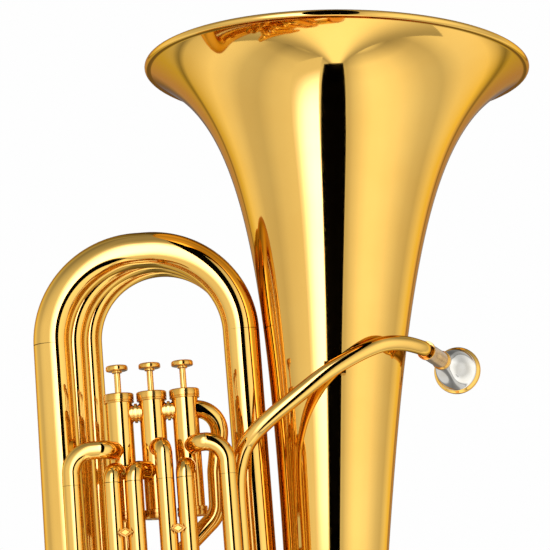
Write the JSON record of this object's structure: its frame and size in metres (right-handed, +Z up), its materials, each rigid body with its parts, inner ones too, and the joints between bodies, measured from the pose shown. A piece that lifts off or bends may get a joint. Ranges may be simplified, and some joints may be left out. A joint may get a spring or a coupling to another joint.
{
  "type": "tuba",
  "caption": "Upright brass tuba with a flared bell, leaning coiled branches, top-action piston valves, pull-out slides and a side mouthpipe.",
  "frame": {"origin": "centre of the bounding box at the lowest point of the bottom bow", "axes": "+Z up along the bell, -X towards the branches and valves, -Y the side with the valves and slides, +Y the player's side, where the mouthpiece points"},
  "size_m": [0.4748, 0.374, 0.9483],
  "materials": {
    "lacquered_brass": "bright clear lacquer over polished yellow brass",
    "satin_brass": "fine satin under clear lacquer",
    "silver_plate": "polished silver plate",
    "nickel": "nickel plate, lightly brushed",
    "spring_steel": "bare spring wire"
  },
  "bodies": {
    "tuba_body": {"bell": "lacquered_brass", "bell_brace": "satin_brass", "bottom_bow": "lacquered_brass", "bottom_bow_guard": "nickel", "bottom_cap_1": "satin_brass", "bottom_cap_2": "satin_brass", "bottom_cap_3": "satin_brass", "first_slide_left_knuckle": "lacquered_brass", "first_slide_left_tube": "lacquered_brass", "first_slide_right_knuckle": "lacquered_brass", "first_slide_right_tube": "lacquered_brass", "first_to_second_bridge": "lacquered_brass", "large_inner_leg": "lacquered_brass", "large_outer_leg": "lacquered_brass", "large_top_bow": "lacquered_brass", "leg_brace": "satin_brass", "middle_branch": "lacquered_brass", "middle_lower_bow": "lacquered_brass", "mouthpiece_receiver": "satin_brass", "mouthpipe": "lacquered_brass", "mouthpipe_bow": "lacquered_brass", "mouthpipe_brace": "satin_brass", "mouthpipe_return": "lacquered_brass", "second_slide_left_knuckle": "lacquered_brass", "second_slide_left_tube": "lacquered_brass", "second_slide_right_knuckle": "lacquered_brass", "second_slide_right_tube": "lacquered_brass", "second_to_first_brace": "satin_brass", "second_to_third_bridge": "lacquered_brass", "small_branch": "lacquered_brass", "small_lower_bow": "lacquered_brass", "third_slide_left_knuckle": "lacquered_brass", "third_slide_left_tube": "lacquered_brass", "third_slide_right_knuckle": "lacquered_brass", "third_slide_right_tube": "lacquered_brass", "third_to_second_brace": "satin_brass", "top_cap_1": "satin_brass", "top_cap_2": "satin_brass", "top_cap_3": "satin_brass", "valve_casing_1": "satin_brass", "valve_casing_2": "satin_brass", "valve_casing_3": "satin_brass", "valve_exit_tube": "lacquered_brass", "valve_spring_1": "spring_steel", "valve_spring_2": "spring_steel", "valve_spring_3": "spring_steel"},
    "piston_1_body": {"piston_1": "nickel", "finger_button_1": "satin_brass"},
    "piston_2_body": {"piston_2": "nickel", "finger_button_2": "satin_brass"},
    "piston_3_body": {"piston_3": "nickel", "finger_button_3": "satin_brass"},
    "first_slide_body": {"first_slide_crook": "lacquered_brass"},
    "second_slide_body": {"second_slide_crook": "lacquered_brass"},
    "third_slide_body": {"third_slide_crook": "lacquered_brass"},
    "tuning_slide_body": {"tuning_slide_crook": "lacquered_brass", "water_key_nipple": "satin_brass", "water_key_saddle": "satin_brass"},
    "water_key_body": {"water_key_lever": "satin_brass"},
    "mouthpiece_body": {"mouthpiece": "silver_plate"}
  },
  "joints": [
    {"name": "piston_1_stroke", "type": "slide", "parent": "tuba_body", "child": "piston_1_body", "axis": [0.0854, 0, -0.9963], "range_m": [0, 0.0175], "stiffness_N_per_m": 120, "springref_m": -0.02, "deforming": ["valve_spring_1"]},
    {"name": "piston_2_stroke", "type": "slide", "parent": "tuba_body", "child": "piston_2_body", "axis": [0.0854, 0, -0.9963], "range_m": [0, 0.0175], "stiffness_N_per_m": 120, "springref_m": -0.02, "deforming": ["valve_spring_2"]},
    {"name": "piston_3_stroke", "type": "slide", "parent": "tuba_body", "child": "piston_3_body", "axis": [0.0854, 0, -0.9963], "range_m": [0, 0.0175], "stiffness_N_per_m": 120, "springref_m": -0.02, "deforming": ["valve_spring_3"]},
    {"name": "first_slide_pull", "type": "slide", "parent": "tuba_body", "child": "first_slide_body", "axis": [0.0854, 0, -0.9963], "range_m": [0, 0.06]},
    {"name": "second_slide_pull", "type": "slide", "parent": "tuba_body", "child": "second_slide_body", "axis": [0.0854, 0, -0.9963], "range_m": [0, 0.04]},
    {"name": "third_slide_pull", "type": "slide", "parent": "tuba_body", "child": "third_slide_body", "axis": [0.0854, 0, -0.9963], "range_m": [0, 0.08]},
    {"name": "tuning_slide_pull", "type": "slide", "parent": "tuba_body", "child": "tuning_slide_body", "axis": [0.0854, 0, -0.9963], "range_m": [0, 0.05]},
    {"name": "water_key_hinge", "type": "hinge", "parent": "tuning_slide_body", "child": "water_key_body", "pos_m": [-0.13804, -0.00065, 0.4067], "axis": [0.9963, 0, 0.0854], "range_deg": [-14, 0], "stiffness_Nm_per_rad": 0.08, "springref_deg": 20.05},
    {"name": "mouthpiece_pull", "type": "slide", "parent": "tuba_body", "child": "mouthpiece_body", "axis": [0.3251, 0.9454, -0.023], "range_m": [0, 0.03]}
  ]
}
